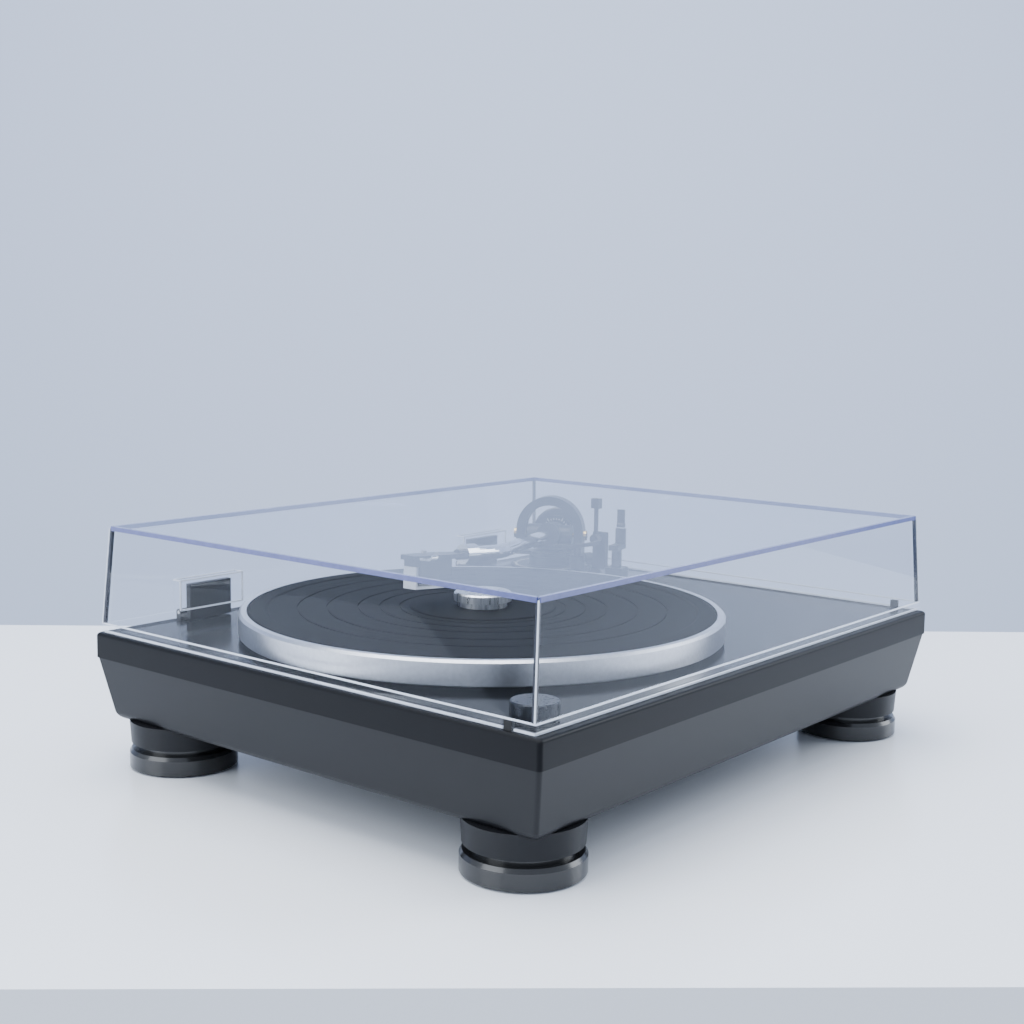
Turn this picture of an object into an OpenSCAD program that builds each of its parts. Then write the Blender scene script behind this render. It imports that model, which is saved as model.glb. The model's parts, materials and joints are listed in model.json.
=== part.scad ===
// Direct-drive record player with a hinged dust cover.
// Origin on the floor under the middle of the body; +X right, -Y front, +Z up.

/* [Body] */
// Width of the body
body_w = 450; // [448:1:452]
// Depth of the body
body_d = 368.4; // [367:0.2:370]
// Height of the body's top panel above the floor
deck_z = 87.6; // [87.6:0.1:87.8]
// Height of the seam between the lower and upper case
seam_z = 71.2; // [70:0.2:73]
// Height of the underside of the lower case
case_z = 30.2; // [30:0.1:31]
// Wall thickness of the case
wall = 3.5; // [3:0.1:4]

/* [Feet] */
// Distance of each foot's centre from the middle, across
foot_x = 186.4; // [184:0.2:187]
// Distance of each foot's centre from the middle, front to back
foot_y = 143.7; // [142:0.1:145]
// Radius of a foot
foot_r = 34.75; // [34:0.05:35]

/* [Dust cover] */
// Height of the top of the cover
cover_z = 157; // [157:0.2:158]
// Thickness of the acrylic sheet
sheet = 3; // [2.8:0.1:3]
// Distance of each hinge from the middle
hinge_x = 143; // [141:1:145]

/* [Platter] */
// Radius of the platter
platter_r = 158.1; // [157:0.1:158.5]
// Distance of the platter's axis from the middle, to the right
platter_x = -54.2; // [-55:0.1:-54]
// Radius of the spindle
spindle_r = 3.6; // [3.55:0.01:3.6]
// Outer radius of the wide-hole record adapter
adapter_r = 19; // [18.8:0.05:19]

/* [Tonearm] */
// Tonearm pivot, to the right
arm_x = 153; // [152.5:0.1:153.5]
// Tonearm pivot, to the back
arm_y = 106; // [105.5:0.1:106.5]
// Height of the tonearm's tilt axis
arm_z = 121; // [120.8:0.1:121.2]
// Outer radius of the arm tube
tube_r = 5; // [4.6:0.1:5]
// Direction of the arm, anticlockwise from +X
arm_turn = 206.6; // [206:0.1:207]
// Tilt of the raised arm
arm_rise = 3.95; // [3.9:0.01:4]
// Radius of the counterweight
weight_r = 20; // [19:0.1:20]

/* [Hidden] */
$fn = 64;
slip = 0.05;
bolt_r = 1.5;
deck_x = 214;
deck_y = 173;
deck_t = 3;
shelf_z = deck_z - deck_t - 0.2;
hinge_y = body_d / 2 - 2.4;
hinge_z = deck_z + 3.9;
pin_r = 1.2;
stub_y = hinge_y - 9.3;
collar_top = case_z + 1.3;
motor_z = shelf_z - 6.6;
knob_pos = [-198, -159];
mat_top = 106.1;
rim_top = 105.8;
straight = 163.4;
bend_r = 60;
bend = 31;
shell_reach = 58;
park = 284;
park_r = 57.6;
rest_pos = [arm_x + park_r * cos(park), arm_y + park_r * sin(park)];
cue_turn = 249.8;
cue_r = 40.5;
cue_pos = [arm_x + cue_r * cos(cue_turn), arm_y + cue_r * sin(cue_turn)];
lever_pos = [179.4, 80];
case_bolts = [for (sx = [-1, 1], sy = [-1, 1]) [sx * 160, sy * 105], for (s = [-1, 1]) [0, s * 161.8]];
jack_x = -115;
jack_y = body_d / 2 - 16;
jack_z = 52;

// One convex block through rounded rectangles given as [z, half width, half depth].
module block(layers, corner) {
    hull()
        for (layer = layers, sx = [-1, 1], sy = [-1, 1])
            translate([sx * (layer[1] - corner), sy * (layer[2] - corner), layer[0]])
                cylinder(r = corner, h = 0.01, $fn = 24);
}

module box(x0, x1, y0, y1, z0, z1) {
    translate([x0, y0, z0])
        cube([x1 - x0, y1 - y0, z1 - z0]);
}

module disc(r, z0, z1) {
    translate([0, 0, z0])
        cylinder(r = r, h = z1 - z0);
}

module ring(r_out, r_in, z0, z1) {
    difference() {
        disc(r_out, z0, z1);
        disc(r_in, z0 - 1, z1 + 1);
    }
}

module at_feet() {
    for (sx = [-1, 1], sy = [-1, 1])
        translate([sx * foot_x, sy * foot_y, 0])
            children();
}

module at_platter() {
    translate([platter_x, 0, 0])
        children();
}

// The tonearm's frame: origin on the tilt axis, +X towards the headshell.
module at_arm(turn = arm_turn, rise = arm_rise) {
    translate([arm_x, arm_y, arm_z])
        rotate([0, -rise, turn])
            children();
}

// The headshell's frame: origin at the end of the tube's bend.
module at_shell() {
    at_arm()
        translate([straight + bend_r * sin(bend), -bend_r * (1 - cos(bend)), 0])
            rotate([0, 0, -bend])
                children();
}

module rod_x(r, x0, x1) {
    translate([x0, 0, 0])
        rotate([0, 90, 0])
            cylinder(r = r, h = x1 - x0);
}

function case_half(z, full) = full / 2 - 0.7 - 7.9 * (seam_z - z) / (seam_z - case_z);

/* ---- body ---- */

module lower_case() {
    fillet = 5;
    color("dimgray")
    difference() {
        block([
            for (a = [0:15:90])
                let (z = case_z + fillet * (1 - sin(a)), inset = fillet * (1 - cos(a)))
                    [z, case_half(z, body_w) - inset, case_half(z, body_d) - inset],
            [seam_z - 0.01, body_w / 2 - 0.7, body_d / 2 - 0.7]
        ], 2.5);
        difference() {
            block([
                [case_z + wall, case_half(case_z, body_w) - wall - 2, case_half(case_z, body_d) - wall - 2],
                [seam_z + 1, body_w / 2 - 0.7 - wall, body_d / 2 - 0.7 - wall]
            ], 2);
            at_feet()
                disc(10, case_z, 50);
        }
        box(-150, 150, -160, 150, case_z - 1, case_z + wall + 1);
        box(-205, 205, -100, 100, case_z - 1, case_z + wall + 1);
        for (p = case_bolts)
            translate([p[0], p[1], 0])
                disc(bolt_r, 20, 40);
        at_feet() {
            disc(foot_r - 0.2, 16, collar_top);
            disc(4 + slip, 16, 51);
        }
        box(jack_x - 65, jack_x + 65, body_d / 2 - 25, body_d / 2 + 1, jack_z - 13, jack_z + 13);
    }
}

// Round collars that the feet screw up into.
module foot_collars() {
    color("dimgray")
    at_feet()
        difference() {
            translate([0, 0, 17])
                cylinder(r1 = foot_r - 1.2, r2 = foot_r - 0.25, h = collar_top - 17, $fn = 96);
            disc(29.5, 16, 26);
            disc(4 + slip, 16, 51);
        }
}

module upper_case() {
    color("dimgray")
    difference() {
        block([
            [seam_z, body_w / 2, body_d / 2],
            for (a = [0:22.5:90])
                [deck_z - 2.2 * (1 - sin(a)), body_w / 2 - 2.2 * (1 - cos(a)), body_d / 2 - 2.2 * (1 - cos(a))]
        ], 2.5);
        box(-body_w / 2 + 6, body_w / 2 - 6, -body_d / 2 + 6, body_d / 2 - 14, seam_z - 1, shelf_z - 3);
        box(-deck_x - 0.2, deck_x + 0.2, -deck_y - 0.2, deck_y + 0.2, shelf_z, deck_z + 1);
        at_platter()
            disc(80, seam_z, deck_z);
        translate([arm_x, arm_y, 0])
            disc(20, seam_z, deck_z);
        translate([knob_pos[0], knob_pos[1], 0])
            disc(4, seam_z, deck_z);
        for (s = [-1, 1])
            translate([s * hinge_x, 0, 0])
                box(-20, 20, deck_y + 3, body_d / 2 + 1, seam_z + 3, deck_z + 1);
    }
}

module top_panel() {
    color([0.1, 0.1, 0.11])
    difference() {
        box(-deck_x, deck_x, -deck_y, deck_y, shelf_z, deck_z);
        at_platter()
            disc(76, shelf_z - 1, deck_z + 1);
        translate([arm_x, arm_y, 0])
            disc(20, shelf_z - 1, deck_z + 1);
        translate([knob_pos[0], knob_pos[1], 0])
            disc(4, shelf_z - 1, deck_z + 1);
    }
}

module bottom_plate() {
    color([0.12, 0.12, 0.12])
    difference() {
        box(-206, 206, -164, 164, case_z - 1.8, case_z);
        at_feet()
            disc(foot_r + 0.5, 20, 40);
        for (p = case_bolts)
            translate([p[0], p[1], 0])
                disc(bolt_r, 20, 40);
        for (i = [-5:5])
            box(i * 12 - 2, i * 12 + 2, 60, 100, 20, 40);
    }
}

module screw(z_head, length) {
    disc(2.8, z_head - 1.6, z_head);
    disc(bolt_r, z_head, z_head + length);
}

// Cheese-head screws under the bottom plate and under the motor plate.
module case_screws() {
    color("silver") {
        for (p = case_bolts)
            translate([p[0], p[1], 0])
                screw(case_z - 1.8, 4);
        at_platter()
            for (a = [45:90:315])
                rotate([0, 0, a])
                    translate([86, 0, 0])
                        screw(motor_z, 3);
    }
}

module motor_plate() {
    color("gray")
    at_platter()
        difference() {
            disc(95, motor_z, motor_z + 3.6);
            disc(14 + slip, motor_z - 1, motor_z + 9);
            for (a = [45:90:315])
                rotate([0, 0, a])
                    translate([86, 0, 0])
                        disc(bolt_r, motor_z - 1, shelf_z);
        }
}

module bearing_housing() {
    color("goldenrod")
    at_platter()
        difference() {
            union() {
                disc(14, 42, motor_z + 3.6);
                disc(11, motor_z + 3.6, 91);
            }
            disc(spindle_r + slip, 46, 92);
        }
}

module thrust_pad() {
    color("ivory")
    at_platter()
        disc(spindle_r, 46, 48);
}

module stator_board() {
    color("darkgreen")
    at_platter()
        ring(58, 20, motor_z + 3.6, motor_z + 5.2);
}

module stator_coils() {
    coils = 9;
    color("peru")
    at_platter()
        for (i = [0:coils - 1])
            rotate([0, 0, i * 360 / coils])
                translate([46, 0, 0])
                    ring(10, 4, motor_z + 5.2, 92);
}

module main_board() {
    color("darkgreen") {
        box(30, 142, -120, -20, 40, 41.6);
        box(50, 70, -100, -80, 41.6, 46);
        box(90, 120, -60, -48, 41.6, 52);
    }
    color("gray")
    for (x = [36, 136], y = [-114, -26])
        translate([x, y, 0])
            disc(3, case_z, 40);
}

module power_board() {
    color("darkgreen")
    box(60, 180, 30, 100, 40, 41.6);
    color([0.1, 0.1, 0.1]) {
        box(80, 120, 45, 80, 41.6, 66);
        for (y = [45, 62, 79])
            translate([150, y, 0])
                disc(6, 41.6, 60);
    }
    color("gray")
    for (x = [66, 174], y = [36, 94])
        translate([x, y, 0])
            disc(3, case_z, 40);
}

module rotary_switch() {
    color("silver")
    translate([knob_pos[0], knob_pos[1], 0])
        difference() {
            disc(11, 62, shelf_z - 3);
            disc(3 + slip, 68, shelf_z);
        }
}

module knob() {
    knob_r = 13.15;
    color([0.3, 0.3, 0.32])
    translate([knob_pos[0], knob_pos[1], 0]) {
        rotate_extrude($fn = 96)
            polygon([[0, deck_z + 0.5], [knob_r - 0.5, deck_z + 0.5], [knob_r, deck_z + 1], [knob_r, 98],
                [knob_r - 0.6, 98.6], [0, 98.6]]);
        disc(3, 70, deck_z + 1);
    }
}

module cover_bumpers() {
    color([0.05, 0.05, 0.05])
    for (s = [-1, 1])
        translate([s * 221, -161, 0])
            box(-1.6, 1.6, -2.5, 2.5, deck_z + 0.02, 93);
}

/* ---- rear connections ---- */

module jack_panel() {
    color([0.08, 0.08, 0.08])
    difference() {
        box(jack_x - 64, jack_x + 64, jack_y - 2, jack_y, jack_z - 12.5, jack_z + 12.5);
        translate([jack_x + 45, jack_y - 5, jack_z])
            rotate([-90, 0, 0])
                cylinder(r = 6, h = 10);
    }
}

module at_jack(x) {
    translate([jack_x + x, jack_y, jack_z])
        rotate([-90, 0, 0])
            children();
}

module rca_jacks() {
    color("gold")
    for (x = [-48, -28])
        at_jack(x)
            difference() {
                union() {
                    disc(6, 0, 2);
                    disc(4.15, 0, 10);
                }
                disc(1.6, 2, 11);
            }
}

module ground_stud() {
    color("silver")
    at_jack(-5)
        disc(2, 0, 12);
}

module ground_nut() {
    color("silver")
    at_jack(-5)
        ring(5, 2 + slip, 2, 9);
}

module power_inlet() {
    color([0.1, 0.1, 0.1])
    at_jack(45)
        difference() {
            disc(5.8, -8, 3);
            ring(2.75, 1, -5, 4);
        }
}

/* ---- platter ---- */

module platter() {
    color("silver")
    at_platter()
        rotate_extrude($fn = 180)
            polygon([
                [spindle_r + 0.02, 93], [24, 93], [24, 100], [60, 100], [150, 100], [151, 90.7],
                [platter_r - 0.6, 90.7], [platter_r, 91.3], [platter_r, rim_top - 1.6],
                [platter_r - 1.6, rim_top], [152.9, rim_top], [152.9, 103.1], [spindle_r + 0.02, 103.1]
            ]);
}

module platter_mat() {
    groove = 0.5;
    bands = [120, 101, 81, 67, 54];
    color([0.06, 0.06, 0.06])
    at_platter()
        rotate_extrude($fn = 180)
            difference() {
                polygon([[spindle_r + 0.1, 103.1], [152.5, 103.1], [152.5, 105.2], [151.4, mat_top],
                    [141, mat_top], [139.6, mat_top - 0.6], [48, mat_top - 0.6], [47, mat_top],
                    [spindle_r + 0.1, mat_top]]);
                for (r = bands)
                    translate([r, mat_top - 0.6 - groove])
                        square([1, 1]);
            }
}

module spindle() {
    tip = 116.4;
    color("silver")
    at_platter()
        rotate_extrude()
            polygon([[0, 48], [spindle_r, 48], [spindle_r, tip - 3], [spindle_r - 0.6, tip - 1.2],
                [spindle_r - 2, tip], [0, tip]]);
}

module rotor_magnet() {
    color([0.25, 0.25, 0.27])
    at_platter()
        ring(72, 62, 86, 100);
}

module record_adapter() {
    foot_top = mat_top + 3.9;
    top = 115.6;
    color("silver")
    at_platter()
        rotate_extrude($fn = 96)
            polygon([
                [spindle_r + slip, mat_top], [16, mat_top], [16, foot_top], [adapter_r, foot_top],
                [adapter_r, top - 1], [adapter_r - 1, top], [8, top], [6, top - 1.2], [spindle_r + slip, top - 1.2]
            ]);
}

/* ---- dust cover ---- */

// One side's outline: a straight skirt, a small step, and a taper to the top, mirrored.
function cover_outline(skirt, foot, shoulder, bottom, top) =
    let (half = [[skirt, bottom], [skirt, 94], [foot, 94.5], [shoulder, top - 1.2], [shoulder - 1, top]])
        concat(half, [for (i = [len(half) - 1:-1:0]) [-half[i][0], half[i][1]]]);

// The cover's shape, shrunk by a margin.
module cover_shape(margin, bottom, top) {
    intersection() {
        rotate([90, 0, 0])
            linear_extrude(body_d + 20, center = true)
                polygon(cover_outline(223 - margin, 222.3 - margin, 218 - margin, bottom, top));
        rotate([90, 0, 90])
            linear_extrude(body_w + 20, center = true)
                polygon(cover_outline(179.7 - margin, 178.3 - margin, 175.9 - margin, bottom, top));
    }
}

module dust_cover() {
    bumper_w = 3;
    color([0.75, 0.82, 0.9, 0.3])
    difference() {
        cover_shape(0, deck_z + 0.1, cover_z);
        cover_shape(sheet, deck_z - 2, cover_z - sheet);
        for (s = [-1, 1]) {
            translate([s * 221 - 5, -161, 0])
                rotate([90, 0, 90])
                    linear_extrude(10)
                        polygon([[-bumper_w, deck_z - 2], [bumper_w, deck_z - 2],
                            for (a = [0:15:180]) [bumper_w * cos(a), 92.2 + bumper_w * sin(a)]]);
            translate([s * hinge_x, 0, 0])
                box(-20, 20, 170, 190, deck_z - 2, 95.2);
        }
    }
}

module hinge_pockets() {
    color([0.75, 0.82, 0.9, 0.3])
    for (s = [-1, 1])
        translate([s * hinge_x, 0, 0])
            difference() {
                box(-26.5, 26.5, stub_y - 5.5, stub_y + 1.8, 96, 116);
                box(-18, 18, stub_y - 4.2, stub_y, 95, 113);
            }
}

module hinge_blades() {
    color([0.05, 0.05, 0.05])
    for (s = [-1, 1])
        translate([s * hinge_x, 0, 0])
            difference() {
                union() {
                    box(-17.5, 17.5, stub_y - 4.1, stub_y - 0.1, deck_z + 0.8, 112.5);
                    box(-17.5, 17.5, stub_y - 1, hinge_y - 3.4, deck_z + 0.8, deck_z + 3.6);
                    box(-7, 7, stub_y, hinge_y, deck_z + 1.7, deck_z + 4.5);
                    translate([0, hinge_y, hinge_z])
                        rod_x(2.3, -7, 7);
                }
                translate([0, hinge_y, hinge_z])
                    rod_x(pin_r + slip, -8, 8);
            }
}

module hinge_bases() {
    color([0.08, 0.08, 0.08])
    for (s = [-1, 1])
        translate([s * hinge_x, 0, 0])
            difference() {
                union() {
                    box(-19.5, 19.5, deck_y + 4, body_d / 2 - 0.2, seam_z + 3, deck_z - 0.6);
                    for (e = [-1, 1]) {
                        translate([e * 12.5, 0, 0])
                            box(-4.5, 4.5, hinge_y - 2.3, hinge_y + 2.3, deck_z - 1, hinge_z);
                        translate([e * 12.5, hinge_y, hinge_z])
                            rod_x(2.3, -4.5, 4.5);
                    }
                }
                translate([0, hinge_y, hinge_z])
                    rod_x(pin_r, -20, 20);
            }
}

module hinge_pins() {
    color("silver")
    for (s = [-1, 1])
        translate([s * hinge_x, hinge_y, hinge_z])
            rod_x(pin_r, -17, 17);
}

/* ---- feet ---- */

module foot(sx, sy) {
    color([0.07, 0.07, 0.07])
    translate([sx * foot_x, sy * foot_y, 0])
        difference() {
            union() {
                translate([0, 0, 1.2])
                    cylinder(r = foot_r, h = 9.4, $fn = 96);
                translate([0, 0, 10.6])
                    cylinder(r1 = foot_r, r2 = foot_r - 1.45, h = 2.4, $fn = 96);
                disc(29, 12, 24);
                disc(4, 23, 46);
            }
            disc(31 + slip, 0, 3);
        }
}

module pad(sx, sy) {
    color([0.04, 0.04, 0.04])
    translate([sx * foot_x, sy * foot_y, 0])
        disc(31, 0, 3);
}

module foot_front_left() { foot(-1, -1); }
module foot_front_right() { foot(1, -1); }
module foot_rear_left() { foot(-1, 1); }
module foot_rear_right() { foot(1, 1); }
module pad_front_left() { pad(-1, -1); }
module pad_front_right() { pad(1, -1); }
module pad_rear_left() { pad(-1, 1); }
module pad_rear_right() { pad(1, 1); }

/* ---- tonearm ---- */

module arm_base() {
    color([0.25, 0.25, 0.26])
    translate([arm_x, arm_y, 0])
        difference() {
            union() {
                disc(42, deck_z, 91);
                translate([0, 0, 91])
                    cylinder(r1 = 42, r2 = 41, h = 1);
                disc(32, 91, 96);
                translate([0, 0, 96])
                    cylinder(r1 = 32, r2 = 31, h = 1);
                disc(17, 97, 104);
            }
            disc(5 + slip, deck_z - 1, 105);
        }
}

module cue_housing() {
    color([0.3, 0.3, 0.31]) {
        translate([cue_pos[0], cue_pos[1], 0])
            difference() {
                disc(6, 92, 110);
                disc(3 + slip, 91, 111);
            }
        box(lever_pos[0] + 4, lever_pos[0] + 9, lever_pos[1] - 6, lever_pos[1] + 6, 92, 122);
    }
}

module cue_lever() {
    pivot_z = 117;
    color("silver")
    translate([lever_pos[0], lever_pos[1], 0]) {
        translate([0, 0, pivot_z])
            rod_x(4, -3, 3.7);
        disc(1.8, pivot_z, 143);
        box(-2.6, 2.6, -3.6, 3.6, 142, 150);
    }
}

// Curved bar that carries the tube, and its column.
module lift_platform() {
    top = 118.3;
    color([0.08, 0.08, 0.08]) {
        translate([arm_x, arm_y, 0])
            rotate([0, 0, arm_turn - 6])
                translate([0, 0, top - 2.5])
                    rotate_extrude(angle = park - arm_turn + 12)
                        translate([cue_r - 2, 0])
                            square([4, 2.5]);
        translate([cue_pos[0], cue_pos[1], 0])
            disc(3, 94, top - 2);
    }
}

module at_rest_post() {
    translate([rest_pos[0], rest_pos[1], 0])
        rotate([0, 0, park + 90])
            children();
}

// In this frame +X is to the right of the parked tube and the tube runs along Y.
module arm_rest() {
    color([0.2, 0.2, 0.21])
    at_rest_post() {
        box(-7, 7, -7, 7, deck_z, 99);
        disc(4, 99, 114);
        box(-8, 9.2, -4, 4, 113, 117);
        box(6.4, 9.2, -4, 4, 113, 129);
    }
}

module rest_clip() {
    pivot_z = 131.5;
    color([0.08, 0.08, 0.08])
    at_rest_post() {
        translate([7.8, -3, pivot_z])
            rotate([-90, 0, 0])
                cylinder(r = 1.9, h = 6);
        box(6.9, 8.7, -3, 3, pivot_z, 144);
    }
}

module antiskate_dial() {
    color([0.1, 0.1, 0.1])
    translate([arm_x, arm_y, 98])
        rotate([0, 90, -20]) {
            translate([0, 0, 32.4])
                cylinder(r = 5.6, h = 7);
        }
}

module arm_yoke() {
    outer = 27;
    inner = 20;
    mid = 3.8;
    foot = -16.5;
    color("silver")
    at_arm(rise = 0)
        difference() {
            union() {
                difference() {
                    translate([-6, 0, mid])
                        rotate([90, 0, 90])
                            cylinder(r = outer, h = 12);
                    translate([-7, -outer - 1, -outer])
                        cube([14, 2 * outer + 2, outer + mid]);
                }
                translate([-6, -outer, foot])
                    cube([12, 2 * outer, mid - foot]);
                translate([0, 0, foot])
                    cylinder(r = 16, h = 3);
                translate([0, 0, -31])
                    cylinder(r = 5, h = 16);
            }
            translate([-7, 0, mid])
                rotate([90, 0, 90])
                    cylinder(r = inner, h = 14);
            translate([-7, -inner, foot + 3])
                cube([14, 2 * inner, mid - foot - 3]);
            rotate([90, 0, 0])
                cylinder(r = 2, h = 60, center = true);
        }
}

// The two screws that hold the arm's cross bearings.
module pivot_screws() {
    color("gold")
    at_arm(rise = 0)
        for (s = [-1, 1])
            translate([0, s * 21.5, 0])
                rotate([90, 0, 0]) {
                    cylinder(r = 2, h = 14, center = true);
                    translate([0, 0, -s * 7])
                        cylinder(r = 4, h = 2, center = true);
                }
}

module pivot_housing() {
    color([0.75, 0.75, 0.77])
    at_arm()
        difference() {
            union() {
                rotate([90, 0, 0])
                    cylinder(r = 8, h = 36, center = true);
                rod_x(9.5, -11, 11);
            }
            rotate([90, 0, 0])
                cylinder(r = 2 + slip, h = 40, center = true);
            rod_x(tube_r, 8, 12);
        }
}

// Points on the tube's centre line as [x, y, turn to the right], in the arm's frame.
function tube_line() = [
    [8, 0, 0], [straight, 0, 0],
    for (a = [bend / 8:bend / 8:bend + 0.01]) [straight + bend_r * sin(a), -bend_r * (1 - cos(a)), a],
    [straight + bend_r * sin(bend) + 8 * cos(bend), -bend_r * (1 - cos(bend)) - 8 * sin(bend), bend]
];

module arm_tube() {
    sides = 32;
    line = tube_line();
    last = len(line) - 1;
    color("silver")
    at_arm()
        polyhedron(
            points = [
                for (p = line, k = [0:sides - 1])
                    let (t = k * 360 / sides)
                        [p[0] + tube_r * cos(t) * sin(p[2]), p[1] + tube_r * cos(t) * cos(p[2]), tube_r * sin(t)]
            ],
            faces = [
                [for (k = [0:sides - 1]) k],
                [for (k = [sides - 1:-1:0]) last * sides + k],
                for (i = [0:last - 1], k = [0:sides - 1])
                    let (n = (k + 1) % sides)
                        [i * sides + k, (i + 1) * sides + k, (i + 1) * sides + n, i * sides + n]
            ]
        );
}

module rear_stub() {
    color("silver")
    at_arm()
        rod_x(6, -58, -11);
}

module weight_sleeve() {
    color("gray")
    at_arm()
        difference() {
            rod_x(8, -50, -20.6);
            rod_x(6 + slip, -51, -19);
        }
}

module counterweight() {
    color([0.35, 0.35, 0.37])
    at_arm()
        rotate([0, -90, 0])
            rotate_extrude($fn = 96)
                polygon([[8 + slip, 26], [weight_r - 1, 26], [weight_r, 27], [weight_r, 44], [weight_r - 0.6, 44.6],
                    [weight_r - 0.6, 45.4], [weight_r, 46], [weight_r, 49], [weight_r - 1, 50], [8 + slip, 50]]);
}

module force_dial() {
    color([0.08, 0.08, 0.08])
    at_arm()
        difference() {
            rod_x(14, -25.9, -20.5);
            rod_x(8.4, -27, -20);
        }
}

module lock_collar() {
    color("silver")
    at_shell()
        difference() {
            rod_x(6.8, 8.1, 19);
            rod_x(3.6 + slip, 8, 20);
        }
}

module headshell() {
    front = shell_reach + 11;
    color([0.6, 0.6, 0.62])
    at_shell() {
        rod_x(3.6, 8.2, 24);
        translate([0, 0, -1.5])
            linear_extrude(3)
                polygon([[19.2, -6], [24, -6], [34, -9], [front - 3, -9], [front, -6], [front, 6], [front - 3, 9],
                    [34, 9], [24, 6], [19.2, 6]]);
    }
}

module cartridge() {
    color([0.06, 0.06, 0.06])
    at_shell()
        translate([shell_reach, 0, 0]) {
            box(-22, 6, -8, 8, -12, -1.5);
            box(-14, 4, -5, 5, -16, -12);
        }
}

// Needle, with a clear guard folded down around it.
module stylus() {
    guard_z = -20.5;
    color([0.7, 0.7, 0.72])
    at_shell()
        translate([shell_reach, 0, 0]) {
            difference() {
                box(-20, 8, -6, 6, guard_z, guard_z + 1.6);
                box(-18.5, 6.6, -4.6, 4.6, guard_z - 1, guard_z + 3);
            }
            box(6.6, 8, -6, 6, guard_z, -6);
            box(6, 6.8, -6, 6, -12, -6);
            translate([0, 0, -19])
                cylinder(r1 = 0.2, r2 = 0.8, h = 3);
        }
}

module finger_lift() {
    color([0.7, 0.7, 0.72])
    at_shell()
        translate([shell_reach, 0, 0]) {
            box(3, 8, 9, 17, -1, 0.6);
            translate([3, 17, 3.6])
                rotate([90, 0, 90])
                    rotate([0, 0, -90])
                        rotate_extrude(angle = 80)
                            translate([3, 0])
                                square([1.6, 5]);
        }
}

module cartridge_screws() {
    color("silver")
    at_shell()
        for (s = [-1, 1])
            translate([shell_reach - 9.5, s * 6, 1.5])
                cylinder(r = 1.8, h = 1.8);
}

lower_case();
foot_collars();
upper_case();
top_panel();
bottom_plate();
case_screws();
motor_plate();
bearing_housing();
thrust_pad();
stator_board();
stator_coils();
main_board();
power_board();
rotary_switch();
arm_base();
cue_housing();
arm_rest();
hinge_bases();
hinge_pins();
cover_bumpers();
jack_panel();
rca_jacks();
ground_stud();
power_inlet();
platter();
platter_mat();
spindle();
rotor_magnet();
record_adapter();
dust_cover();
hinge_pockets();
hinge_blades();
foot_front_left();
foot_front_right();
foot_rear_left();
foot_rear_right();
pad_front_left();
pad_front_right();
pad_rear_left();
pad_rear_right();
knob();
arm_yoke();
pivot_screws();
arm_tube();
pivot_housing();
rear_stub();
weight_sleeve();
counterweight();
force_dial();
lock_collar();
headshell();
cartridge();
stylus();
finger_lift();
cartridge_screws();
cue_lever();
lift_platform();
rest_clip();
antiskate_dial();
ground_nut();
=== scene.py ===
"""Looks of a record player with a clear dust cover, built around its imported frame."""

import json
import math

import bmesh
import bpy
from mathutils import Matrix, Vector


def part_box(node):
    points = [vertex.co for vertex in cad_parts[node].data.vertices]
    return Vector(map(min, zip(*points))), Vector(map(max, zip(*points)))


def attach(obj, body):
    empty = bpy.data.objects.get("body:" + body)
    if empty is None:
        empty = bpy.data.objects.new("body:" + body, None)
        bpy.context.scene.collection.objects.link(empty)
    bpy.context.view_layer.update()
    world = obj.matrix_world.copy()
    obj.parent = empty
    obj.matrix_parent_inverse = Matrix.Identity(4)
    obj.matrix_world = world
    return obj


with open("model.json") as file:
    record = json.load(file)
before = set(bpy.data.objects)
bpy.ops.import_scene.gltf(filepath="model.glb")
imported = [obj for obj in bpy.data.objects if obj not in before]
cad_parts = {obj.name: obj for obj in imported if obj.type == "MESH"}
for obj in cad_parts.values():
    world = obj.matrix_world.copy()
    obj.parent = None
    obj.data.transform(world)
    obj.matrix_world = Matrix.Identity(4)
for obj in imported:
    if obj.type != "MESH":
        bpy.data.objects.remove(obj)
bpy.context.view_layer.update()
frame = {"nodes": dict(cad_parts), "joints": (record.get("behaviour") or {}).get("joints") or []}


# ---- small helpers ----

def middle(name):
    """Centre of a node's box."""
    low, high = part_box(name)
    return (Vector(low) + Vector(high)) / 2


def joint(name):
    """A joint of the frame, by name."""
    return next(j for j in frame["joints"] if j["name"] == name)


def new_piece(name, bm, material, body, smooth=True):
    """Turns a bmesh into a piece with one material that rides on a body."""
    mesh = bpy.data.meshes.new(name)
    bmesh.ops.recalc_face_normals(bm, faces=bm.faces)
    bm.to_mesh(mesh)
    bm.free()
    for face in mesh.polygons:
        face.use_smooth = smooth
    obj = bpy.data.objects.new(name, mesh)
    bpy.context.scene.collection.objects.link(obj)
    mesh.materials.append(material)
    if body:
        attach(obj, body)
    return obj


def bevel(obj, width, segments=2):
    """Rounds an object's sharp edges."""
    mod = obj.modifiers.new("round", "BEVEL")
    mod.width = width
    mod.segments = segments
    mod.limit_method = "ANGLE"
    mod.angle_limit = math.radians(40)
    mod.harden_normals = False


# ---- materials ----

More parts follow.
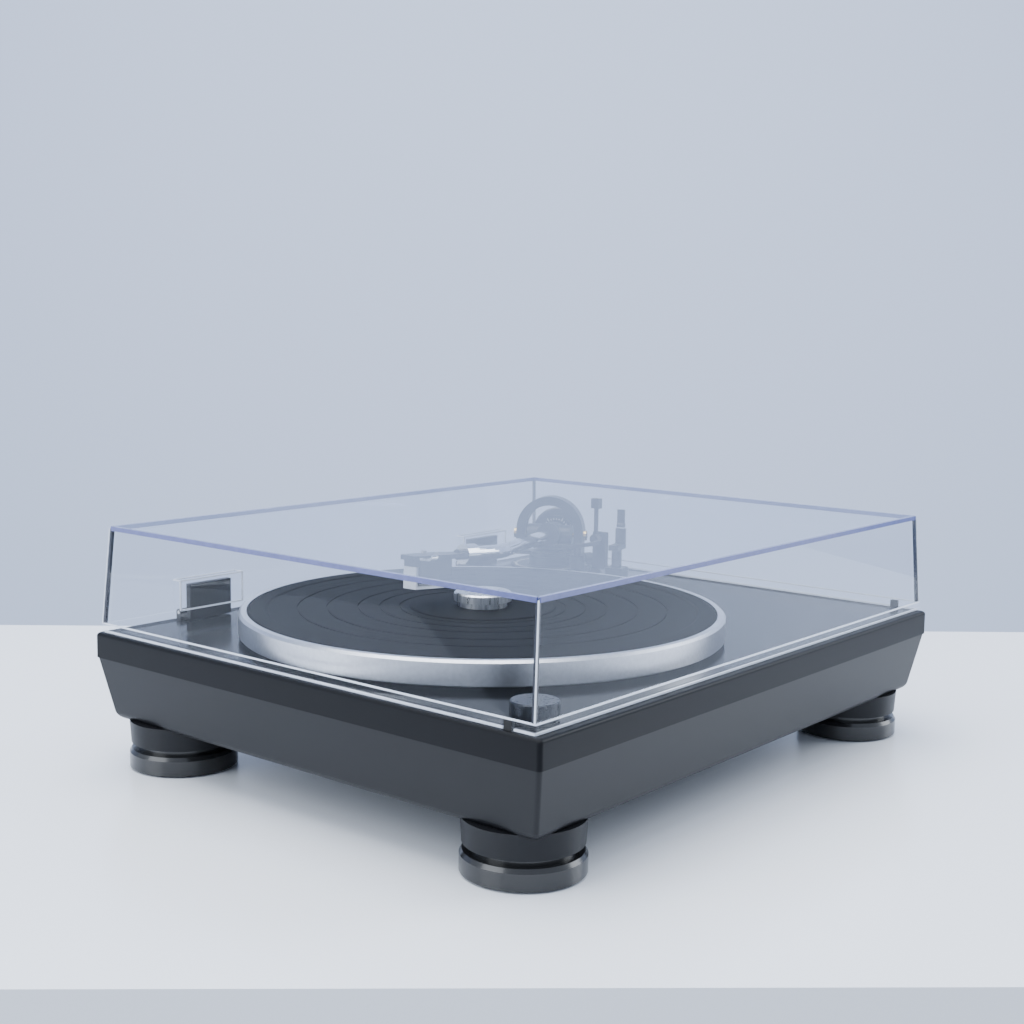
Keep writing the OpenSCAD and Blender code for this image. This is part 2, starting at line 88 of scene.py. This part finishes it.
def material(name, colour, rough, metal=0.0, grain=900.0, bump=0.0, spread=0.04, coat=0.0,
             stretch=(1, 1, 1), specular=0.5):
    """A Principled material whose colour, roughness and surface vary with fine noise."""
    mat = bpy.data.materials.new(name)
    mat.use_nodes = True
    nodes, links = mat.node_tree.nodes, mat.node_tree.links
    shader = nodes["Principled BSDF"]
    shader.inputs["Metallic"].default_value = metal
    shader.inputs["Coat Weight"].default_value = coat
    shader.inputs["Specular IOR Level"].default_value = specular
    where = nodes.new("ShaderNodeTexCoord")
    mapping = nodes.new("ShaderNodeMapping")
    mapping.inputs["Scale"].default_value = stretch
    links.new(where.outputs["Object"], mapping.inputs["Vector"])
    noise = nodes.new("ShaderNodeTexNoise")
    noise.inputs["Scale"].default_value = grain
    noise.inputs["Detail"].default_value = 4.0
    links.new(mapping.outputs["Vector"], noise.inputs["Vector"])
    tint = nodes.new("ShaderNodeValToRGB")
    tint.color_ramp.elements[0].position = 0.3
    tint.color_ramp.elements[1].position = 0.7
    tint.color_ramp.elements[0].color = [c * (1 - spread * 2) for c in colour] + [1]
    tint.color_ramp.elements[1].color = [min(1, c * (1 + spread * 2)) for c in colour] + [1]
    links.new(noise.outputs["Fac"], tint.inputs["Fac"])
    links.new(tint.outputs["Color"], shader.inputs["Base Color"])
    gloss = nodes.new("ShaderNodeMapRange")
    gloss.inputs["To Min"].default_value = max(0.02, rough - spread)
    gloss.inputs["To Max"].default_value = min(1, rough + spread)
    links.new(noise.outputs["Fac"], gloss.inputs["Value"])
    links.new(gloss.outputs["Result"], shader.inputs["Roughness"])
    if bump:
        relief = nodes.new("ShaderNodeBump")
        relief.inputs["Strength"].default_value = bump
        relief.inputs["Distance"].default_value = 0.0004
        links.new(noise.outputs["Fac"], relief.inputs["Height"])
        links.new(relief.outputs["Normal"], shader.inputs["Normal"])
    return mat


def turned_metal(name, colour, rough, centre, pitch=2600.0):
    """Metal with fine rings from turning, around a vertical axis."""
    mat = material(name, colour, rough, metal=1.0, grain=400.0, spread=0.03)
    nodes, links = mat.node_tree.nodes, mat.node_tree.links
    where = nodes.new("ShaderNodeTexCoord")
    mapping = nodes.new("ShaderNodeMapping")
    mapping.inputs["Location"].default_value = (-centre[0], -centre[1], 0)
    links.new(where.outputs["Object"], mapping.inputs["Vector"])
    wave = nodes.new("ShaderNodeTexWave")
    wave.wave_type = "RINGS"
    wave.rings_direction = "Z"
    wave.inputs["Scale"].default_value = pitch
    wave.inputs["Distortion"].default_value = 1.5
    links.new(mapping.outputs["Vector"], wave.inputs["Vector"])
    relief = nodes.new("ShaderNodeBump")
    relief.inputs["Strength"].default_value = 0.12
    relief.inputs["Distance"].default_value = 0.0002
    links.new(wave.outputs["Fac"], relief.inputs["Height"])
    links.new(relief.outputs["Normal"], nodes["Principled BSDF"].inputs["Normal"])
    return mat


def clear_acrylic(name, tint, rough, ior=1.55):
    """Clear sheet that lets light straight through and mirrors more at a glancing angle."""
    mat = bpy.data.materials.new(name)
    mat.use_nodes = True
    nodes, links = mat.node_tree.nodes, mat.node_tree.links
    nodes.remove(nodes["Principled BSDF"])
    through = nodes.new("ShaderNodeBsdfTransparent")
    through.inputs["Color"].default_value = (*tint, 1)
    mirror = nodes.new("ShaderNodeBsdfGlossy")
    mirror.inputs["Color"].default_value = (0.86, 0.91, 1.0, 1)
    fresnel = nodes.new("ShaderNodeFresnel")
    fresnel.inputs["IOR"].default_value = ior
    glance = nodes.new("ShaderNodeMapRange")
    glance.inputs["From Min"].default_value = 0.045
    glance.inputs["From Max"].default_value = 0.4
    glance.inputs["To Min"].default_value = 0.015
    glance.inputs["To Max"].default_value = 0.42
    side = nodes.new("ShaderNodeNewGeometry")
    outer = nodes.new("ShaderNodeMath")
    outer.operation = "SUBTRACT"
    outer.inputs[0].default_value = 1.0
    share = nodes.new("ShaderNodeMath")
    share.operation = "MULTIPLY"
    noise = nodes.new("ShaderNodeTexNoise")
    noise.inputs["Scale"].default_value = 40.0
    scuff = nodes.new("ShaderNodeMapRange")
    scuff.inputs["From Min"].default_value = 0.45
    scuff.inputs["From Max"].default_value = 0.8
    scuff.inputs["To Min"].default_value = rough
    scuff.inputs["To Max"].default_value = rough + 0.06
    mix = nodes.new("ShaderNodeMixShader")
    links.new(noise.outputs["Fac"], scuff.inputs["Value"])
    links.new(scuff.outputs["Result"], mirror.inputs["Roughness"])
    links.new(side.outputs["Backfacing"], outer.inputs[1])
    links.new(fresnel.outputs["Fac"], glance.inputs["Value"])
    links.new(glance.outputs["Result"], share.inputs[0])
    links.new(outer.outputs["Value"], share.inputs[1])
    links.new(share.outputs["Value"], mix.inputs["Fac"])
    links.new(through.outputs["BSDF"], mix.inputs[1])
    links.new(mirror.outputs["BSDF"], mix.inputs[2])
    links.new(mix.outputs["Shader"], nodes["Material Output"].inputs["Surface"])
    return mat


platter_mid = middle("spindle")
knob_mid = middle("knob")
M = {
    "case": material("case_paint", (0.009, 0.0095, 0.0115), 0.42, grain=2400.0, bump=0.12,
                     spread=0.05, specular=0.22),
    "band": material("band_paint", (0.004, 0.0044, 0.006), 0.42, grain=2400.0, bump=0.1,
                     spread=0.05, specular=0.15),
    "panel": material("panel_black", (0.004, 0.0042, 0.0052), 0.16, grain=300.0, spread=0.006, specular=0.15),
    "plastic": material("moulded_black", (0.018, 0.018, 0.019), 0.36, grain=2600.0, bump=0.25),
    "foot": material("foot_black", (0.012, 0.012, 0.013), 0.24, grain=1800.0, bump=0.08, coat=0.2),
    "rubber": material("rubber_black", (0.02, 0.02, 0.021), 0.75, grain=2200.0, bump=0.5, specular=0.3),
    "mat": material("mat_rubber", (0.004, 0.0043, 0.0052), 0.64, grain=2200.0, bump=0.3, specular=0.1),
    "platter": turned_metal("platter_aluminium", (0.7, 0.71, 0.74), 0.3, platter_mid),
    # The adapter's colour varies in tall vertical streaks, painted reflections of the surroundings on its
    # chrome; the bump gives its grain.
    "adapter": material("adapter_aluminium_painted_streaks", (0.74, 0.75, 0.78), 0.3, metal=1.0, grain=420.0,
                        spread=0.12, bump=0.2, stretch=(1, 1, 0.02)),
    "gunmetal": material("gunmetal", (0.05, 0.052, 0.058), 0.34, metal=0.6, grain=1600.0, bump=0.08),
    "guard": material("guard_plastic", (0.7, 0.73, 0.8), 0.15, grain=500.0, spread=0.03, specular=0.8),
    "knob": turned_metal("knob_metal", (0.035, 0.037, 0.042), 0.28, knob_mid, 4000.0),
    "chrome": material("chrome", (0.78, 0.79, 0.81), 0.08, metal=1.0, spread=0.02),
    "satin": material("satin_aluminium", (0.6, 0.61, 0.63), 0.3, metal=1.0, grain=1400.0, bump=0.1),
    "steel": material("steel", (0.5, 0.5, 0.52), 0.3, metal=1.0, grain=1200.0, bump=0.1),
    "brass": material("brass", (0.75, 0.55, 0.25), 0.22, metal=1.0),
    "copper": material("copper_wire", (0.6, 0.28, 0.12), 0.35, metal=1.0, grain=1600.0, bump=0.6),
    "board": material("board_green", (0.02, 0.12, 0.06), 0.4, grain=700.0, spread=0.08),
    "marks": material("white_marks", (0.7, 0.7, 0.7), 0.5),
    "acrylic": clear_acrylic("clear_acrylic", (0.975, 0.98, 0.99), 0.01),
    # Painted glow: a blue-violet colour stands in for the light caught inside the acrylic along the cover's
    # top edges.
    "edge": material("acrylic_edge_painted_glow", (0.1, 0.115, 0.3), 0.16, grain=300.0, spread=0.06, specular=0.8),
    # Painted shade: a near-black colour for the dark lines that light leaves along the cover's upright
    # corners.
    "painted_shade": material("acrylic_corner_painted_shade", (0.02, 0.022, 0.035), 0.1, grain=300.0, spread=0.05,
                          specular=0.9),
    # Painted highlight: a pale colour for the bright lines light makes along the cover's corners, step,
    # bottom and hinge pockets.
    "painted_highlight": material("acrylic_painted_highlight", (0.72, 0.76, 0.85), 0.1, grain=300.0,
                            spread=0.04, specular=0.9),
}

LOOKS = {
    "case": ["lower_case", "foot_collars", "arm_base", "cue_housing"],
    "band": ["upper_case"],
    "panel": ["top_panel"],
    "plastic": ["bottom_plate", "hinge_bases", "jack_panel", "power_inlet", "hinge_blades", "force_dial",
                "cartridge", "cue_lever", "rest_clip", "antiskate_dial", "arm_rest", "thrust_pad",
                "weight_sleeve"],
    "rubber": ["cover_bumpers", "lift_platform"],
    "mat": ["platter_mat"],
    "platter": ["platter"],
    "adapter": ["record_adapter"],
    "knob": ["knob"],
    "chrome": ["spindle", "arm_tube", "lock_collar", "finger_lift"],
    "gunmetal": ["counterweight", "arm_yoke", "pivot_housing", "headshell"],
    "satin": ["rear_stub"],
    "guard": ["stylus"],
    "steel": ["case_screws", "motor_plate", "rotary_switch", "hinge_pins", "ground_stud", "ground_nut",
              "rotor_magnet", "cartridge_screws"],
    "brass": ["rca_jacks", "bearing_housing", "pivot_screws"],
    "copper": ["stator_coils"],
    "board": ["stator_board", "main_board", "power_board"],
    "acrylic": ["dust_cover", "hinge_pockets"],
}
for side in ("front_left", "front_right", "rear_left", "rear_right"):
    LOOKS["foot"] = LOOKS.get("foot", []) + ["foot_" + side]
    LOOKS["rubber"].append("pad_" + side)
for look, names in LOOKS.items():
    for name in names:
        slots = frame["nodes"][name].data.materials
        slots.clear()
        slots.append(M[look])

ROUNDED = {
    "lower_case": 0.0012, "arm_yoke": 0.0012, "headshell": 0.0006, "arm_rest": 0.0006, "cue_housing": 0.0006,
    "cue_lever": 0.0004, "cartridge": 0.0006, "counterweight": 0.0004, "rest_clip": 0.0004,
    "hinge_blades": 0.0004,
    "hinge_bases": 0.0005, "lock_collar": 0.0005, "antiskate_dial": 0.0006, "top_panel": 0.0005,
    "cover_bumpers": 0.0005, "jack_panel": 0.0003, "pivot_housing": 0.0006, "force_dial": 0.0005,
}
for name, width in ROUNDED.items():
    bevel(frame["nodes"][name], width)


# ---- pieces the CAD leaves plain ----

def knurl(name, body, centre, axis, radius, low, high, count, mat):
    """A band of small ridges round a turned part."""
    bm = bmesh.new()
    turn = Vector((0, 0, 1)).rotation_difference(Vector(axis)).to_matrix().to_4x4()
    place = Matrix.Translation(centre) @ turn
    depth, pitch = 0.0003, 2 * math.pi / count
    for k in range(count):
        a = k * pitch
        corners = [(radius - depth, a - pitch * 0.3), (radius, a), (radius - depth, a + pitch * 0.3)]
        ends = [[bm.verts.new(place @ Vector((r * math.cos(t), r * math.sin(t), z))) for r, t in corners]
                for z in (low, high)]
        bm.faces.new(ends[0])
        bm.faces.new(ends[1][::-1])
        for i in range(3):
            j = (i + 1) % 3
            bm.faces.new((ends[0][i], ends[0][j], ends[1][j], ends[1][i]))
    return new_piece(name, bm, mat, body, smooth=False)


low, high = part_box("knob")
knob_top = high[2]
knob_r = (high[0] - low[0]) / 2
knurl("knob_grip", "selector", Vector((knob_mid.x, knob_mid.y, 0)), (0, 0, 1), knob_r + 0.0001,
      knob_top - 0.0085, knob_top - 0.0015, 72, M["knob"])

# Tick marks round the foot of the tonearm, and on the force dial's face.
arm_axis = Vector(joint("arm_swing")["pos_m"])
BOSS_RISE = 0.007
drum_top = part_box("arm_base")[1][2] - BOSS_RISE


def ticks(name, body, centre, axis, inner, outer, count, span, mat, thick=0.00012, wide=0.0003):
    """Short radial bars on a flat face, evenly spread over an angle."""
    bm = bmesh.new()
    turn = Vector((0, 0, 1)).rotation_difference(Vector(axis)).to_matrix().to_4x4()
    place = Matrix.Translation(centre) @ turn
    for k in range(count):
        a = span * k / count
        reach = outer if k % 5 == 0 else (inner + outer) / 2
        spin = Matrix.Rotation(a, 4, "Z")
        box = [(inner, -wide, 0), (reach, -wide, 0), (reach, wide, 0), (inner, wide, 0)]
        lower = [bm.verts.new(place @ spin @ Vector(p)) for p in box]
        upper = [bm.verts.new(place @ spin @ (Vector(p) + Vector((0, 0, thick)))) for p in box]
        bm.faces.new(lower[::-1])
        bm.faces.new(upper)
        for i in range(4):
            j = (i + 1) % 4
            bm.faces.new((lower[i], lower[j], upper[j], upper[i]))
    return new_piece(name, bm, mat, body, smooth=False)


ticks("base_scale", "plinth", Vector((arm_axis.x, arm_axis.y, drum_top)), (0, 0, 1),
      0.0265, 0.0305, 60, 2 * math.pi, M["marks"])
back = Vector(joint("weight_travel")["axis"]).normalized()
ticks("force_scale", "dial", arm_axis + back * 0.0205, -back, 0.0102, 0.0132, 30, 2 * math.pi, M["marks"])
knurl("weight_grip", "weight", arm_axis, back, 0.0202, 0.029, 0.042, 90, M["gunmetal"])


# ---- painted glow, painted shade and painted highlights along the cover's edges ----

def bar(bm, a, b, half):
    """Adds a square bar from a to b, centred on the line between them."""
    a, b = Vector(a), Vector(b)
    along = (b - a).normalized()
    side = along.cross(Vector((0, 0, 1)))
    side = side.normalized() if side.length > 0.3 else Vector((1, 0, 0))
    top = side.cross(along).normalized()
    corners = ((-1, -1), (1, -1), (1, 1), (-1, 1))
    ends = [[bm.verts.new(p + side * half * sx + top * half * sz) for sx, sz in corners] for p in (a, b)]
    bm.faces.new(ends[0])
    bm.faces.new(ends[1][::-1])
    for i in range(4):
        j = (i + 1) % 4
        bm.faces.new((ends[0][i], ends[0][j], ends[1][j], ends[1][i]))


def bars(name, lines, half, mat):
    """One piece made of square bars along several lines of the cover."""
    bm = bmesh.new()
    for a, b in lines:
        bar(bm, a, b, half)
    return new_piece(name, bm, mat, "lid", smooth=False)


def loop(x, y, z):
    """The four corners of a level rectangle round the middle."""
    return [(-x, -y, z), (x, -y, z), (x, y, z), (-x, y, z)]


low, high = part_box("dust_cover")
SHOULDER_X, SHOULDER_Y, SHOULDER_DROP = 0.0063, 0.0049, 0.0015
STEP_RISE, STEP_IN, NOTCH_HALF = 0.0066, 0.0006, 0.0036
notch_y = middle("cover_bumpers").y
rim = loop(high[0] - SHOULDER_X, high[1] - SHOULDER_Y, high[2] - SHOULDER_DROP)
# The cover's top edges get a painted blue glow, light caught in the acrylic, as coloured bars.
bars("cover_top_edge_painted_glow", [(rim[i], rim[(i + 1) % 4]) for i in range(4)], 0.0014, M["edge"])
step = loop(high[0] - 0.0014, high[1] - 0.0022, low[2] + STEP_RISE)
# Dark bars up the cover's corners are painted shade, the dark lines the clear acrylic shows there.
bars("cover_corner_edge", list(zip(step, rim)), 0.0010, M["painted_shade"])
# Thin pale bars just outside the corners are a painted glint.
GLINT_OUT_X, GLINT_OUT_Y = 1.0055, 1.0065
glint = [[(x * GLINT_OUT_X, y * GLINT_OUT_Y, z) for x, y, z in corner] for corner in (step, rim)]
bars("cover_corner_glint", list(zip(*glint)), 0.00035, M["painted_highlight"])
# Pale bars along the skirt's step and along the bottom are painted highlights, the bright lines light makes
# on those acrylic edges.
outer = loop(high[0] - STEP_IN, high[1] - STEP_IN, low[2] + STEP_RISE - 0.0004)
bars("cover_step_painted_highlight", [(outer[0], outer[1]), (outer[1], outer[2]), (outer[3], outer[0])], 0.00045,
     M["painted_highlight"])
foot = loop(high[0] - 0.0016, high[1] - 0.0016, low[2] + 0.0008)
sides = [(foot[0], foot[1])]
for x in (-foot[1][0], foot[1][0]):
    sides.append(((x, foot[0][1], foot[0][2]), (x, notch_y - NOTCH_HALF, foot[0][2])))
    sides.append(((x, notch_y + NOTCH_HALF, foot[0][2]), (x, foot[2][1], foot[0][2])))
bars("cover_bottom_painted_highlight", sides, 0.0006, M["painted_highlight"])

# The pockets that hold the hinge blades get painted highlights along their edges too, as pale bars.
low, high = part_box("hinge_pockets")
POCKET_WIDTH = 0.053
for name, x0 in (("left_pocket_painted_highlight", low[0]), ("right_pocket_painted_highlight", high[0] - POCKET_WIDTH)):
    x1 = x0 + POCKET_WIDTH
    front = [(x0, low[1], low[2]), (x1, low[1], low[2]), (x1, low[1], high[2]), (x0, low[1], high[2])]
    rear = [(x, high[1], z) for x, _, z in front]
    lines = [(front[i], front[(i + 1) % 4]) for i in range(4)] + [(front[i], rear[i]) for i in (2, 3)]
    bars(name, lines + [(rear[2], rear[3])], 0.0005, M["painted_highlight"])


# ---- table, wall, light and camera ----

def stage_plane(name, size, place, turn, mat):
    """A large flat square that stands around the object and isn't part of it."""
    bm = bmesh.new()
    bmesh.ops.create_grid(bm, x_segments=1, y_segments=1, size=size)
    obj = new_piece(name, bm, mat, None)
    obj.location = place
    obj.rotation_euler = turn


FORWARD_YAW = 0.8831
TABLE_YAW = 0.8446
TABLE_DEPTH, TABLE_WIDTH, TABLE_THICK = 0.764, 3.2, 0.018
TABLE_BACK, TABLE_GAP, WALL_AWAY = 0.0062, 0.0002, 2.4
bm = bmesh.new()
bmesh.ops.create_cube(bm, size=1.0)
bmesh.ops.scale(bm, verts=bm.verts, vec=(TABLE_WIDTH, TABLE_DEPTH, TABLE_THICK))
white_table = material("white_table", (0.9, 0.93, 0.99), 0.22, spread=0.005)
table = new_piece("table", bm, white_table, None, smooth=False)
table.location = (TABLE_BACK * math.sin(TABLE_YAW), TABLE_BACK * math.cos(TABLE_YAW),
                  -TABLE_GAP - TABLE_THICK / 2)
table.rotation_euler = (0, 0, -TABLE_YAW)
WALL_SIZE = 8.0
stage_plane("wall", WALL_SIZE, (WALL_AWAY * math.sin(FORWARD_YAW), WALL_AWAY * math.cos(FORWARD_YAW), 0),
            (math.radians(90), 0, -FORWARD_YAW), material("wall", (0.58, 0.645, 0.81), 0.9, spread=0.005))


def area_light(name, place, aim, size, power, colour=(1, 1, 1)):
    data = bpy.data.lights.new(name, "AREA")
    data.shape = "RECTANGLE"
    data.size, data.size_y = size
    data.energy = power
    data.color = colour
    obj = bpy.data.objects.new(name, data)
    bpy.context.scene.collection.objects.link(obj)
    obj.location = place
    obj.rotation_euler = (Vector(aim) - Vector(place)).to_track_quat("-Z", "Y").to_euler()


area_light("overhead", (-0.2, 0.3, 2.2), (0, 0, 0), (2.4, 2.0), 96, (0.95, 0.975, 1.0))
area_light("window", (1.7, -1.3, 1.2), (0, 0, 0.1), (1.2, 1.4), 38, (0.9, 0.95, 1.0))
area_light("left_fill", (-2.0, 0.6, 1.1), (0, 0, 0.1), (1.4, 1.6), 36, (0.9, 0.95, 1.0))

world = bpy.data.worlds.new("studio")
bpy.context.scene.world = world
world.use_nodes = True
world.node_tree.nodes["Background"].inputs["Color"].default_value = (0.72, 0.82, 0.99, 1)
world.node_tree.nodes["Background"].inputs["Strength"].default_value = 1.14

CAMERA_PLACE = (-0.7806342, -0.6203118, 0.2928885)
yaw, pitch, roll = FORWARD_YAW, 0.12989, 0.01509
forward = Vector((math.sin(yaw) * math.cos(pitch), math.cos(yaw) * math.cos(pitch), -math.sin(pitch)))
right = Vector((math.cos(yaw), -math.sin(yaw), 0))
up = right.cross(forward)
across = right * math.cos(roll) + up * math.sin(roll)
upward = up * math.cos(roll) - right * math.sin(roll)
camera = bpy.data.objects.new("camera", bpy.data.cameras.new("camera"))
bpy.context.scene.collection.objects.link(camera)
camera.data.sensor_width = 36
camera.data.lens = 52.0
spin = Matrix((across, upward, -forward)).transposed().to_4x4()
camera.matrix_world = Matrix.Translation(CAMERA_PLACE) @ spin
bpy.context.scene.camera = camera
